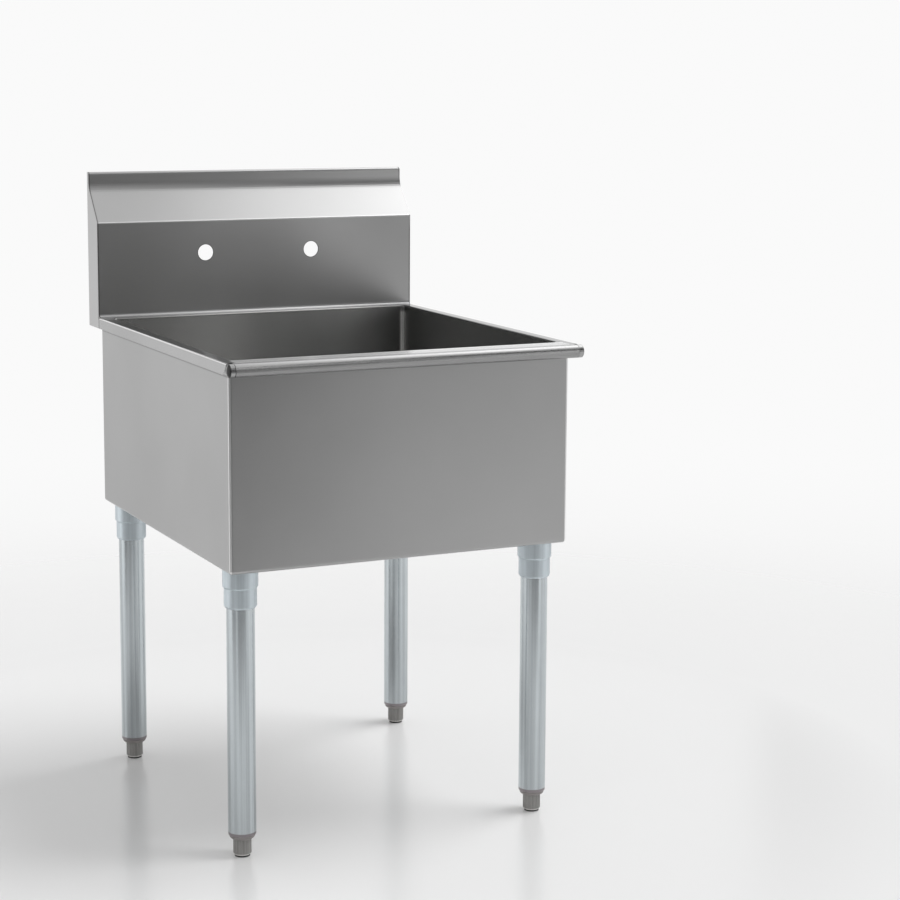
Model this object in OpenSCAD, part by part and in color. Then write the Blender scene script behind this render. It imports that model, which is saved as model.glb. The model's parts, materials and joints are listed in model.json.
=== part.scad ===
// Free-standing utility laundry sink: a coved bowl hung in a folded skirt, with a
// rolled front rim, a sloping splash with two tap holes, a basket drain and four
// tube legs on screw-down feet. Front is -Y, the wall is at +Y, the floor is z = 0.

/* [Bowl] */
// Height of the rim above the floor
rim_h = 795; // [700:1:900]
// Inside width of the bowl
bowl_w = 561; // [480:1:640]
// Inside depth of the bowl, front to back
bowl_d = 598; // [500:1:660]
// Inside height of the bowl, from the rim to the edge of its floor
bowl_h = 305; // [260:1:380]
// Thickness of the bowl, rim and splash sheet
sheet = 1.5; // [1.2:0.1:2]
// Radius of the coves between the bowl's walls and floor
cove_r = 8.5; // [5:0.5:14]
// Radius of the bend where a wall turns out into the rim
bend_r = 3; // [2.5:0.1:5]
// Width of the bowl's own flange, from its wall to the weld with the rim
weld_w = 6; // [5.5:0.1:8]
// Fall of the floor from its edges to the drain
floor_fall = 8; // [3:0.5:9]

/* [Rim] */
// Width of each side rim, from the bowl's wall to the outer edge
side_rim_w = 21; // [18:0.5:32]
// Height of the turned-down edge of the side rims
rim_drop = 19; // [12:0.5:28]
// Length by which the lower front corner of that edge is cut back
rim_cut = 12; // [4:1:20]
// Outside diameter of the rolled front edge
roll_d = 21; // [18:0.5:26]
// Distance from the skirt forward to the centre of the roll
roll_reach = 25; // [18:0.5:36]
// Length by which each end of the roll stands out past the side rim
roll_over = 3; // [2:0.5:10]
// Length of the cap on each end of the roll
roll_cap_l = 12; // [9:0.5:16]
// Slot between a side rim's front end and the roll
rim_slot = 1.2; // [0.8:0.1:2]

/* [Splash] */
// Depth of the ledge between the bowl's back wall and the splash
ledge_d = 18; // [16:0.5:40]
// Height of the upright face above the rim
face_h = 166; // [140:1:220]
// Height of the slope above the face
slope_h = 58; // [40:1:80]
// Height of the lip above the slope
lip_h = 29; // [24:1:40]
// Depth of the splash, from its face to the wall
splash_d = 56; // [48:1:90]
// Depth of the lip, from its front to the wall
lip_d = 8; // [7.5:0.5:12]
// Length of the lip's turned-down back edge
lip_turn = 14; // [8:1:18]
// Radius of the cove at the foot of the splash
splash_cove_r = 6; // [4:0.5:9]
// Radius of the soft bend under the lip
lip_cove_r = 32; // [8:1:36]
// Radius along the top of the lip
lip_top_r = 5; // [3:0.5:5]

/* [Tap holes] */
// Distance between the centres of the two tap holes
tap_spacing = 203.2; // [100:0.1:260]
// Diameter of a tap hole
tap_hole_d = 28.6; // [22:0.1:36]
// Height of the tap holes above the rim
tap_hole_h = 109; // [60:1:120]

/* [Skirt] */
// Distance from the edge of the bowl's floor down to the skirt's bottom edge
skirt_below = 25; // [21:1:80]
// Thickness of the skirt sheet
skirt_sheet = 1.2; // [0.8:0.1:1.5]
// Distance from the bowl's side wall out to the skirt's outer face
skirt_side = 12; // [8:0.5:15]
// Distance from the bowl's front wall out to the skirt's outer face
skirt_front = 19.5; // [12:0.5:30]
// Distance from the splash's face back to the skirt's outer face
skirt_back = 9; // [5:0.5:24]
// Radius of the skirt's corners and bottom edges
skirt_r = 5.5; // [2:0.5:7]
// Width of the flange turned in along the skirt's bottom edge
skirt_flange = 80; // [76:1:110]
// Height of the back panel above the rim
back_rise = 14; // [8:1:30]

/* [Legs] */
// Outside diameter of the leg tube
leg_d = 44.5; // [40:0.1:47]
// Wall thickness of the leg tube
leg_wall = 1.5; // [1:0.1:2.5]
// Radius of the curl at the bottom end of the leg tube
leg_curl_r = 3; // [2.6:0.1:3.6]
// Distance from the skirt's side to a leg's centre
leg_side = 34; // [30:1:45]
// Distance from the skirt's front to a front leg's centre
leg_front = 47; // [34:1:48]
// Distance from the skirt's back to a rear leg's centre
leg_back = 44; // [34:1:60]
// Diameter of the upper step of a leg socket
socket_top_d = 56; // [53.5:0.1:60]
// Height of the upper step of a leg socket
socket_top_h = 31; // [20:1:40]
// Diameter of the lower step of a leg socket
socket_low_d = 51.8; // [50.5:0.1:53]
// Height of the lower step of a leg socket
socket_low_h = 31; // [20:1:40]
// Height of the bevel under each step
socket_bevel = 3; // [2:0.1:5]
// Thickness of the web that closes the top of a socket
socket_web = 5; // [3:0.5:8]
// Diameter of the set screw in a socket
set_screw_d = 8; // [6:0.5:10]
// Thickness of the plate over each socket
leg_plate_t = 3; // [2:0.5:4]
// Length of each side of that plate
leg_plate_w = 92; // [80:1:110]

/* [Feet] */
// Diameter of a foot
foot_d = 29; // [24:0.1:32]
// Height of a foot
foot_h = 28.5; // [20:0.5:35]
// Length that a foot can be screwed out
foot_travel = 25; // [10:1:30]
// Diameter of the foot's screw
foot_stem_d = 16; // [12:0.5:18]
// Length of the foot's screw that stays in the bush when the foot is right out
foot_grip_l = 20; // [12:1:30]
// Height of the bush's shoulder under the leg tube
bush_shoulder_h = 6.5; // [5:0.5:10]
// Length of the bush inside the leg tube
bush_l = 32; // [20:1:45]

/* [Drain] */
// Diameter of the hole in the bowl's floor
drain_hole_d = 89; // [88.4:0.1:92]
// Diameter of the round recess that takes the drain's flange
recess_d = 116; // [114:1:130]
// Depth of that recess
recess_h = 3; // [2:0.5:4]
// Diameter of the drain's flange
drain_flange_d = 110; // [104:1:111]
// Thickness of the drain's flange
drain_flange_t = 2.5; // [2:0.1:4]
// Outside diameter of the drain's threaded cup
drain_cup_d = 87; // [86:0.1:88]
// Thickness of that cup's wall, with its thread
drain_wall = 4; // [3.5:0.1:5]
// Depth of the drain's cup below the recess
drain_cup_h = 40; // [38:1:50]
// Length of the outlet under the cup
outlet_l = 18; // [14:1:30]
// Outside diameter of the outlet
outlet_d = 48.3; // [46:0.1:52]
// Inside diameter of the outlet
outlet_bore_d = 39; // [34:0.5:41]
// Thickness of the drain's rubber gasket
gasket_t = 3; // [2:0.5:5]
// Thickness of the drain's fibre washer
washer_t = 1; // [0.5:0.1:2]
// Height of the drain's locknut
locknut_h = 12; // [8:0.5:16]
// Thickness of the strainer basket
basket_sheet = 1; // [0.7:0.1:1.2]
// Diameter of the holes in the basket
basket_hole_d = 4; // [3:0.1:5]
// Diameter of the knob in the basket
knob_d = 20; // [16:0.5:22]
// Thickness of the rubber stopper
stopper_t = 4; // [3:0.5:6]
// Travel of the stopper, from shut to open
stopper_lift = 8; // [3:0.5:12]

/* [Hidden] */

$fn = 64;
// Sides of the round corners inside a hull
hull_fn = 32;
// Steps along each bend of a folded sheet
bend_steps = 6;
// Overrun of every cut
over = 2;
// Gap between a moving piece and its seat, and between a tube and its socket
seat_gap = 0.3;
// Gap at a press fit or a thread
thread_gap = 0.1;

// Places along Z
floor_z = rim_h - bowl_h;
skirt_z = floor_z - skirt_below;
drain_z = floor_z - floor_fall - recess_h;
face_top_z = rim_h + face_h;
slope_top_z = face_top_z + slope_h;
lip_top_z = slope_top_z + lip_h;
tube_z = foot_h + seat_gap + bush_shoulder_h;

// Places along Y, from the front of the roll to the wall
roll_r = roll_d / 2;
overall_d = roll_r + roll_reach + skirt_front + bowl_d + ledge_d + splash_d;
roll_y = roll_r - overall_d / 2;
skirt_y0 = roll_y + roll_reach;
bowl_y0 = skirt_y0 + skirt_front;
bowl_y1 = bowl_y0 + bowl_d;
bowl_y = (bowl_y0 + bowl_y1) / 2;
splash_y = bowl_y1 + ledge_d;
skirt_y1 = splash_y + skirt_back;
wall_y = splash_y + splash_d;
splash_foot_y = splash_y - splash_cove_r - sheet;
rim_y0 = roll_y + roll_r + rim_slot;

// Places along X
rim_x = bowl_w / 2 + side_rim_w;
weld_x = bowl_w / 2 + weld_w;
skirt_x = bowl_w / 2 + skirt_side;
roll_x = rim_x + roll_over - roll_cap_l;
leg_x = skirt_x - leg_side;
leg_y_front = skirt_y0 + leg_front;
leg_y_rear = skirt_y1 - leg_back;

// Roll cap
roll_bore_r = roll_r - sheet;
roll_cap_plug_l = roll_cap_l * 0.7;
roll_cap_groove = sheet * 0.7;
// Slope of the cap's domed end where it meets the cap's side
roll_cap_dome_angle = 38;
// Angle, up from straight back, at which the rolled edge ends under the rim
roll_end_angle = 20;

// Leg, socket and foot
leg_r = leg_d / 2;
leg_top_z = skirt_z - socket_web - seat_gap;
set_screw_z = skirt_z - socket_top_h - socket_low_h / 2;
socket_end_r = (leg_r + socket_low_d / 2) / 2;
leg_plate_cut = leg_plate_w * 0.4;
bush_r = leg_r - leg_wall - thread_gap;
bush_shoulder_r = leg_r - leg_curl_r / 2;
bush_foot_r = foot_d / 2 + leg_wall / 3;
foot_sole_h = foot_h * 0.08;
foot_chamfer = foot_h * 0.07;
foot_base_r = foot_d / 2 * 0.85;
foot_rib_n = 24;
foot_rib_h = foot_d * 0.02;
foot_stem_r = foot_stem_d / 2;
foot_stem_l = foot_travel + foot_grip_l;

// Drain, from its cup inwards
cup_r = drain_cup_d / 2 - drain_wall;
mouth_r = cup_r + drain_wall * 0.875;
mouth_h = drain_flange_t + drain_wall * 0.875;
cup_seat_h = drain_cup_h * 0.2;
outlet_step = outlet_l / 3;
locknut_r = drain_cup_d / 2 + drain_wall * 2;
lug_n = 6;
lug_w = drain_cup_d * 0.16;
gasket_z = drain_z - sheet - gasket_t;
washer_z = gasket_z - washer_t;
locknut_z = washer_z - locknut_h;

// Strainer basket and stopper
basket_r = cup_r - seat_gap * 4;
stopper_z = drain_z - drain_cup_h + cup_seat_h * 0.19;
stopper_seat_gap = seat_gap * 3;
basket_z = stopper_z + stopper_t + stopper_lift + seat_gap;
basket_h = drain_z - basket_z;
knob_r = knob_d / 2;
knob_h = knob_r * 0.78;
post_r = knob_r * 0.3;
hub_r = post_r * 2.3;
hub_h = post_r * 2;
knob_edge_r = knob_h * 0.45;
knob_z = basket_z + basket_sheet + hub_h + seat_gap;
hole_ring_rs = [basket_r * 0.42, basket_r * 0.62, basket_r * 0.82];
hole_ring_ns = [8, 12, 16];
// Run of the cup's sloping seat for each unit of its height
seat_slope_share = (cup_r - outlet_bore_d / 2) / cup_seat_h;

// Unit vector of v, and the vector to the right of v
function unit(v) = v / norm(v);
function right_of(v) = [v[1], -v[0]];
// 1 where the path a, b, c turns left, and -1 where it turns right
function turn(a, b, c) = sign((b - a)[0] * (c - b)[1] - (b - a)[1] * (c - b)[0]);
// Half of the angle at b, and the direction that halves it
function half_angle(a, b, c) = acos(unit(a - b) * unit(c - b)) / 2;
function middle(a, b, c) = unit(unit(a - b) + unit(c - b));
// Points of the arc of radius r that rounds the corner b of the path a, b, c
function corner(a, b, c, r) = r <= 0 ? [b] :
    let (
        h = half_angle(a, b, c),
        o = b + middle(a, b, c) * r / sin(h),
        s = b + unit(a - b) * r / tan(h) - o,
        start = atan2(s[1], s[0]),
        sweep = turn(a, b, c) * (180 - 2 * h)
    )
    [for (i = [0:bend_steps])
        o + r * [cos(start + sweep * i / bend_steps), sin(start + sweep * i / bend_steps)]];
// Path through ps with its inner corners rounded by the radii rs
function rounded(ps, rs) = concat(
    [ps[0]],
    [for (i = [1:len(ps) - 2]) each corner(ps[i - 1], ps[i], ps[i + 1], rs[i - 1])],
    [ps[len(ps) - 1]]
);
// The corner b of the path a, b, c moved to the right by t
function shifted(a, b, c, t) =
    let (n = right_of(unit(b - a)), m = right_of(unit(c - b)))
    b + (n + m) * t / (1 + n * m);
function beside(ps, t) =
    let (last = len(ps) - 1)
    concat(
        [ps[0] + right_of(unit(ps[1] - ps[0])) * t],
        [for (i = [1:last - 1]) shifted(ps[i - 1], ps[i], ps[i + 1], t)],
        [ps[last] + right_of(unit(ps[last] - ps[last - 1])) * t]
    );
function backwards(ps) = [for (i = [len(ps) - 1:-1:0]) ps[i]];
// Outline of a sheet of thickness t, folded along ps, with its shown face on the left
function folded(ps, rs, t) = concat(
    rounded(ps, rs),
    backwards(rounded(
        beside(ps, t),
        [for (i = [1:len(ps) - 2]) rs[i - 1] + t * turn(ps[i - 1], ps[i], ps[i + 1])]
    ))
);

// A section drawn in (y, z) and run along X between two places
module along_x(x0, x1) {
    translate([x0, 0, 0]) rotate([90, 0, 90]) linear_extrude(x1 - x0) children();
}

// A section drawn in (x, z) and run along Y between two places
module along_y(y0, y1) {
    translate([0, y1, 0]) rotate([90, 0, 0]) linear_extrude(y1 - y0) children();
}

// A flat plate between two corners, from z0 up by t
module plate(x0, y0, x1, y1, z0, t) {
    translate([x0, y0, z0]) cube([x1 - x0, y1 - y0, t]);
}

// A section swept round a rectangle w by d whose corners have the radius r. The
// section's first coordinate is the distance out from the corners' centres.
module around(w, d, r) {
    for (q = [0:3]) {
        a = (q % 2 == 0 ? w : d) / 2 - r;
        b = (q % 2 == 0 ? d : w) / 2 - r;
        rotate([0, 0, 90 * q]) {
            translate([a, 0, 0]) rotate([90, 0, 0]) linear_extrude(2 * b, center = true) children();
            translate([a, b, 0]) rotate_extrude(angle = 90) children();
        }
    }
}

// Section of the bowl: floor cove, wall and the bend out into the flange
module bowl_section() {
    translate([0, floor_z + cove_r]) intersection() {
        difference() {
            circle(cove_r + sheet);
            circle(cove_r);
        }
        translate([0, -cove_r - sheet]) square(cove_r + sheet);
    }
    translate([cove_r, floor_z + cove_r]) square([sheet, bowl_h - cove_r - bend_r]);
    translate([cove_r + bend_r, rim_h - bend_r]) intersection() {
        difference() {
            circle(bend_r);
            circle(bend_r - sheet);
        }
        translate([-bend_r, 0]) square(bend_r);
    }
}

// Flat flange round the bowl's mouth, up to the weld with the rim
module bowl_flange() {
    translate([0, 0, rim_h - sheet]) linear_extrude(sheet) difference() {
        square([bowl_w + 2 * weld_w, bowl_d + 2 * weld_w], center = true);
        hull() for (sx = [-1, 1], sy = [-1, 1])
            translate([sx * (bowl_w / 2 - cove_r), sy * (bowl_d / 2 - cove_r)])
                circle(cove_r + bend_r, $fn = 4 * hull_fn);
    }
}

// Block under the floor's surface: four faces that fall to the drain's recess
module floor_block(z, t) {
    hull() {
        translate([0, 0, z + t / 2])
            cube([bowl_w - 2 * cove_r, bowl_d - 2 * cove_r, t], center = true);
        translate([0, 0, z - floor_fall]) cylinder(d = recess_d, h = t, $fn = 2 * hull_fn);
    }
}

module bowl_floor() {
    difference() {
        floor_block(floor_z - sheet, sheet);
        floor_block(floor_z, sheet);
    }
}

module bowl() {
    color("silver") translate([0, bowl_y, 0]) difference() {
        union() {
            around(bowl_w, bowl_d, cove_r) bowl_section();
            bowl_flange();
            bowl_floor();
            translate([0, 0, drain_z - sheet]) cylinder(d = recess_d, h = recess_h + sheet);
        }
        translate([0, 0, drain_z]) cylinder(d = recess_d - 2 * sheet, h = recess_h + over);
        translate([0, 0, drain_z - sheet - over]) cylinder(d = drain_hole_d, h = sheet + 2 * over);
    }
}

// A section swept round the skirt's front and sides. The section's first coordinate
// is the distance out from the corners' centres.
module round_front() {
    x = skirt_x - skirt_r;
    y = skirt_y0 + skirt_r;
    translate([0, y, 0]) rotate([90, 0, -90]) linear_extrude(2 * x, center = true) children();
    for (s = [0, 1]) mirror([s, 0, 0]) {
        translate([x, skirt_y1, 0]) rotate([90, 0, 0]) linear_extrude(skirt_y1 - y) children();
        translate([x, y, 0]) rotate([0, 0, -90]) rotate_extrude(angle = 90) children();
    }
}

// Section of the skirt: upright wall and the bend into the bottom flange
module skirt_section() {
    r = skirt_r;
    translate([r - skirt_sheet, skirt_z + r])
        square([skirt_sheet, rim_h - sheet - skirt_z - r]);
    translate([0, skirt_z + r]) intersection() {
        difference() {
            circle(r);
            circle(r - skirt_sheet);
        }
        translate([0, -r]) square(r);
    }
}

// Front and both sides, folded from one sheet, with a flange turned in below
module skirt() {
    x0 = skirt_x - skirt_r;
    x1 = skirt_x - skirt_flange;
    y0 = skirt_y0 + skirt_r;
    y1 = skirt_y0 + skirt_flange;
    color("darkgray") {
        round_front() skirt_section();
        translate([0, 0, skirt_z]) linear_extrude(skirt_sheet) polygon([
            [-x0, skirt_y1], [-x0, y0], [x0, y0], [x0, skirt_y1],
            [x1, skirt_y1], [x1, y1], [-x1, y1], [-x1, skirt_y1]
        ]);
    }
}

// Back panel between the skirt's sides, with a flange below and one up at the splash.
// Its lower corners are cut on a slant, to clear the bends along the skirt's sides.
module skirt_back_panel() {
    x = skirt_x - skirt_sheet;
    line = [
        [splash_y + sheet, rim_h + back_rise],
        [skirt_y1, rim_h + back_rise],
        [skirt_y1, skirt_z],
        [skirt_y1 - skirt_flange, skirt_z]
    ];
    corner_cut = [
        [skirt_x - skirt_r, skirt_z + skirt_sheet], [x, skirt_z + skirt_r],
        [x + over, skirt_z + skirt_r], [x + over, skirt_z - over],
        [skirt_x - skirt_r, skirt_z - over]
    ];
    color("darkgray") difference() {
        along_x(-x, x) polygon(folded(line, [skirt_r / 2, skirt_r], skirt_sheet));
        for (s = [0, 1]) mirror([s, 0, 0]) {
            translate([skirt_x, skirt_y1 - skirt_flange, skirt_z])
                cube([2 * skirt_flange, 4 * skirt_flange, 2 * skirt_sheet], center = true);
            along_y(skirt_y1 - 2 * skirt_flange, skirt_y1 + over) polygon(corner_cut);
        }
    }
}

// Side rim: flat top and turned-down edge, cut back round the foot of the splash and
// on a slant behind the roll
module side_rim(s) {
    line = [[weld_x, rim_h], [rim_x, rim_h], [rim_x, rim_h - rim_drop]];
    slant = [
        [rim_y0, rim_h - bend_r], [rim_y0 + rim_cut, rim_h - rim_drop],
        [rim_y0 + rim_cut, rim_h - rim_drop - over], [rim_y0 - over, rim_h - rim_drop - over],
        [rim_y0 - over, rim_h - bend_r]
    ];
    color("silver") mirror([s < 0 ? 1 : 0, 0, 0]) difference() {
        along_y(rim_y0, splash_y) polygon(folded(line, [bend_r], sheet));
        plate(weld_x - over, splash_foot_y, rim_x - sheet, splash_y + over,
            rim_h - rim_drop / 2, rim_drop);
        along_x(rim_x - bend_r, rim_x + over) polygon(slant);
    }
}

// Front rim: a flat deck whose front edge is rolled under into a tube
module front_rim() {
    color("silver") {
        along_x(-roll_x, roll_x) {
            translate([roll_y, rim_h - roll_r]) difference() {
                circle(roll_r);
                circle(roll_bore_r);
                polygon([
                    [0, 0],
                    [2 * roll_r * cos(roll_end_angle), 2 * roll_r * sin(roll_end_angle)],
                    [2 * roll_r, 2 * roll_r],
                    [0, 2 * roll_r]
                ]);
            }
            translate([roll_y, rim_h - sheet]) square([roll_r, sheet]);
        }
        plate(-weld_x, roll_y, weld_x, bowl_y0 - weld_w, rim_h - sheet, sheet);
    }
}

// Cap with a domed end and a plug that fits the roll's bore
module roll_cap(s) {
    plug_r = roll_bore_r - seat_gap;
    dome_r = roll_r / sin(roll_cap_dome_angle);
    line = [
        [0, -roll_cap_plug_l], [plug_r, -roll_cap_plug_l], [plug_r, 0],
        [roll_r - roll_cap_groove, 0], [roll_r, roll_cap_groove]
    ];
    dome = [
        for (i = [2 * bend_steps:-1:0])
            let (a = roll_cap_dome_angle * i / (2 * bend_steps))
            [dome_r * sin(a), roll_cap_l - dome_r * (1 - cos(a))]
    ];
    color("silver") mirror([s < 0 ? 1 : 0, 0, 0])
        translate([roll_x, roll_y, rim_h - roll_r]) rotate([0, 90, 0]) rotate_extrude()
            polygon(concat(line, dome));
}

// Front line of the splash, from the ledge up to the lip's turned-down back edge
splash_line = [
    [splash_foot_y, rim_h],
    [splash_y, rim_h],
    [splash_y, face_top_z],
    [wall_y - lip_d, slope_top_z],
    [wall_y - lip_d, lip_top_z],
    [wall_y, lip_top_z],
    [wall_y, lip_top_z - lip_turn]
];
face_bend_r = sheet * 1.7;
lip_back_r = lip_d - lip_top_r > 2 * sheet ? sheet * 1.7 : sheet * 1.2;
splash_radii = [splash_cove_r, face_bend_r, lip_cove_r, lip_top_r, lip_back_r];

module splash_panel() {
    x = rim_x - sheet;
    color("silver") difference() {
        union() {
            along_x(-x, x) polygon(folded(splash_line, splash_radii, sheet));
            plate(-weld_x, bowl_y1 + weld_w, weld_x, splash_foot_y + sheet / 2,
                rim_h - sheet, sheet);
        }
        for (s = [-1, 1])
            translate([s * tap_spacing / 2, splash_y - over, rim_h + tap_hole_h])
                rotate([-90, 0, 0]) cylinder(d = tap_hole_d, h = sheet + 2 * over);
    }
}

// End plate that closes one side of the splash down to the rim's lower edge
module splash_end(s) {
    line = [
        [splash_y, rim_h - rim_drop],
        [splash_y, face_top_z],
        [wall_y - lip_d, slope_top_z],
        [wall_y - lip_d, lip_top_z],
        [wall_y, lip_top_z],
        [wall_y, rim_h - rim_drop]
    ];
    color("silver") mirror([s < 0 ? 1 : 0, 0, 0]) along_x(rim_x - sheet, rim_x)
        polygon(rounded(line, [face_bend_r, lip_cove_r, lip_top_r, lip_back_r]));
}

// Moves its children to a leg: sx is -1 on the left, and sy is -1 at the front
module at_leg(sx, sy) {
    translate([sx * leg_x, sy < 0 ? leg_y_front : leg_y_rear, 0]) children();
}

// Plate welded in over the skirt's flange, above a socket, with one corner cut
module leg_plate(sx, sy) {
    y = sy < 0 ? skirt_y0 + skirt_r : skirt_y1 - skirt_r;
    a = leg_plate_w;
    color("gainsboro") translate([sx * (skirt_x - skirt_r), y, skirt_z + skirt_sheet])
        linear_extrude(leg_plate_t)
            polygon([
                for (p = [[0, 0], [a, 0], [a, a - leg_plate_cut], [a - leg_plate_cut, a], [0, a]])
                    [-sx * p[0], -sy * p[1]]
            ]);
}

// Stepped socket, with a blind bore for the tube and a hole for the set screw behind
module leg_socket(sx, sy) {
    step_z = skirt_z - socket_top_h;
    end_z = step_z - socket_low_h;
    bore_r = leg_r + seat_gap;
    low_r = socket_low_d / 2;
    line = [
        [0, skirt_z], [0, skirt_z - socket_web], [bore_r, skirt_z - socket_web],
        [bore_r, end_z], [socket_end_r, end_z], [low_r, end_z + socket_bevel],
        [low_r, step_z], [socket_top_d / 2, step_z + socket_bevel],
        [socket_top_d / 2, skirt_z]
    ];
    color("lightsteelblue") at_leg(sx, sy) difference() {
        rotate_extrude() polygon(line);
        translate([0, 0, set_screw_z]) rotate([-90, 0, 0])
            cylinder(d = set_screw_d + 2 * thread_gap, h = socket_low_d);
    }
}

// Set screws, one in the back of each socket, tight against the tube
module socket_set_screws() {
    color("dimgray") for (sx = [-1, 1], sy = [-1, 1])
        at_leg(sx, sy) translate([0, 0, set_screw_z]) rotate([-90, 0, 0])
            difference() {
                translate([0, 0, leg_r]) cylinder(d = set_screw_d, h = socket_low_d / 2 - leg_r);
                translate([0, 0, (leg_r + socket_low_d / 2) / 2])
                    cylinder(d = set_screw_d / 2, h = socket_low_d, $fn = 6);
            }
}

// Leg tube, with its bottom end curled in round the bush
module leg_tube(sx, sy) {
    line = [[leg_r, leg_top_z], [leg_r, tube_z], [leg_r - leg_curl_r / 2, tube_z]];
    inner_r = leg_r - leg_wall;
    color("lightsteelblue") at_leg(sx, sy) rotate_extrude()
        polygon(concat(
            rounded(line, [leg_curl_r / 2]),
            [[inner_r, tube_z], [inner_r, leg_top_z]]
        ));
}

// Bush pressed into the tube, with a rounded shoulder below and a threaded bore
module foot_bush(sx, sy) {
    bore_r = foot_stem_r + seat_gap;
    low_z = tube_z - bush_shoulder_h;
    line = [
        [bore_r, low_z], [bush_foot_r, low_z], [bush_shoulder_r, tube_z], [bush_r, tube_z],
        [bush_r, tube_z + bush_l], [bore_r, tube_z + bush_l]
    ];
    bulge = [
        for (i = [1:bend_steps - 1])
            let (a = 90 * i / bend_steps)
            [bush_foot_r + (bush_shoulder_r - bush_foot_r) * sin(a),
                tube_z - bush_shoulder_h * cos(a)]
    ];
    color("rosybrown") at_leg(sx, sy) rotate_extrude()
        polygon(concat([line[0], line[1]], bulge, [for (i = [2:5]) line[i]]));
}

// Bullet foot with fine upright ribs, on a screw that runs in the bush
module foot(sx, sy) {
    r = foot_d / 2;
    neck_r = r - 2 * foot_rib_h;
    rib_z = foot_sole_h + foot_chamfer * 1.25;
    line = [
        [0, 0], [foot_base_r, 0], [foot_base_r, foot_sole_h],
        [neck_r, foot_sole_h + foot_chamfer], [neck_r, rib_z], [0, rib_z]
    ];
    color("rosybrown") at_leg(sx, sy) {
        rotate_extrude() polygon(line);
        translate([0, 0, rib_z]) linear_extrude(foot_h - rib_z)
            polygon([
                for (i = [0:2 * foot_rib_n - 1])
                    let (a = 180 * i / foot_rib_n)
                    (r - foot_rib_h * (i % 2)) * [cos(a), sin(a)]
            ]);
        translate([0, 0, foot_h]) cylinder(r = foot_stem_r, h = foot_stem_l);
    }
}

module at_drain(z) {
    translate([0, bowl_y, z]) children();
}

// Drain: a flange in the bowl's recess, a threaded cup with a sloping seat, an outlet
module drain_body() {
    bore_r = outlet_bore_d / 2;
    line = [
        [bore_r, -drain_cup_h - outlet_l], [outlet_d / 2, -drain_cup_h - outlet_l],
        [outlet_d / 2, -drain_cup_h - outlet_step + drain_wall],
        [drain_cup_d / 2, -drain_cup_h + drain_wall], [drain_cup_d / 2, 0],
        [drain_flange_d / 2, 0], [drain_flange_d / 2 - drain_flange_t / 2, drain_flange_t],
        [mouth_r, drain_flange_t], [cup_r, drain_flange_t - mouth_h],
        [cup_r, cup_seat_h - drain_cup_h], [bore_r, -drain_cup_h]
    ];
    color("lightgray") at_drain(drain_z) rotate_extrude() polygon(line);
}

// Flat ring round the drain's thread
module drain_ring(z, r, t) {
    at_drain(z) difference() {
        cylinder(r = r, h = t);
        translate([0, 0, -over]) cylinder(r = drain_cup_d / 2 + thread_gap, h = t + 2 * over);
    }
}

module drain_gasket() {
    color("#202020") drain_ring(gasket_z, drain_flange_d / 2, gasket_t);
}

module drain_washer() {
    color("peru") drain_ring(washer_z, locknut_r, washer_t);
}

// Locknut with lugs for a spanner
module drain_locknut() {
    color("gray") {
        drain_ring(locknut_z, locknut_r, locknut_h);
        at_drain(locknut_z) for (i = [0:lug_n - 1])
            rotate([0, 0, 360 * i / lug_n])
                translate([locknut_r - drain_wall, -lug_w / 2, 0])
                    cube([2 * drain_wall, lug_w, locknut_h * 0.7]);
    }
}

// Perforated basket that hangs by its flared rim in the drain's mouth
module strainer_basket() {
    flare_r = mouth_r - stopper_seat_gap / 2;
    neck_r = cup_r - stopper_seat_gap / 2;
    neck_z = drain_flange_t - mouth_h;
    line = [
        [0, -basket_h], [basket_r, -basket_h], [neck_r, neck_z], [flare_r, drain_flange_t],
        [flare_r - basket_sheet, drain_flange_t], [neck_r - basket_sheet, neck_z + basket_sheet],
        [basket_r - basket_sheet, basket_sheet - basket_h], [hub_r, basket_sheet - basket_h],
        [hub_r, basket_sheet + hub_h - basket_h], [0, basket_sheet + hub_h - basket_h]
    ];
    color("silver") at_drain(drain_z) difference() {
        rotate_extrude() polygon(line);
        translate([0, 0, -basket_h - over])
            cylinder(r = post_r + seat_gap, h = basket_sheet + hub_h + 2 * over);
        for (k = [0:len(hole_ring_rs) - 1], i = [0:hole_ring_ns[k] - 1])
            rotate([0, 0, 360 * i / hole_ring_ns[k]])
                translate([hole_ring_rs[k], 0, -basket_h - over])
                    cylinder(d = basket_hole_d, h = basket_sheet + 2 * over, $fn = 16);
    }
}

// Post with a knob above the basket, and the stopper at its foot
module stopper_post() {
    line = [
        [0, stopper_z], [post_r, stopper_z], [post_r, knob_z], [knob_r, knob_z],
        [knob_r, knob_z + knob_h], [0, knob_z + knob_h]
    ];
    color("lightgray") at_drain(0) rotate_extrude()
        polygon(rounded(line, [0, 0, knob_edge_r, knob_edge_r]));
}

// Rubber stopper, just above the sloping seat in the drain's cup
module drain_stopper() {
    foot_z = stopper_z - drain_z + drain_cup_h;
    foot_r = outlet_bore_d / 2 + foot_z * seat_slope_share - stopper_seat_gap;
    head_r = foot_r + stopper_t * seat_slope_share;
    line = [
        [post_r, 0], [foot_r, 0], [head_r - stopper_t / 2, stopper_t * 0.8],
        [head_r - stopper_t / 2, stopper_t], [post_r, stopper_t]
    ];
    color("#202020") at_drain(stopper_z) rotate_extrude() polygon(line);
}

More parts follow.
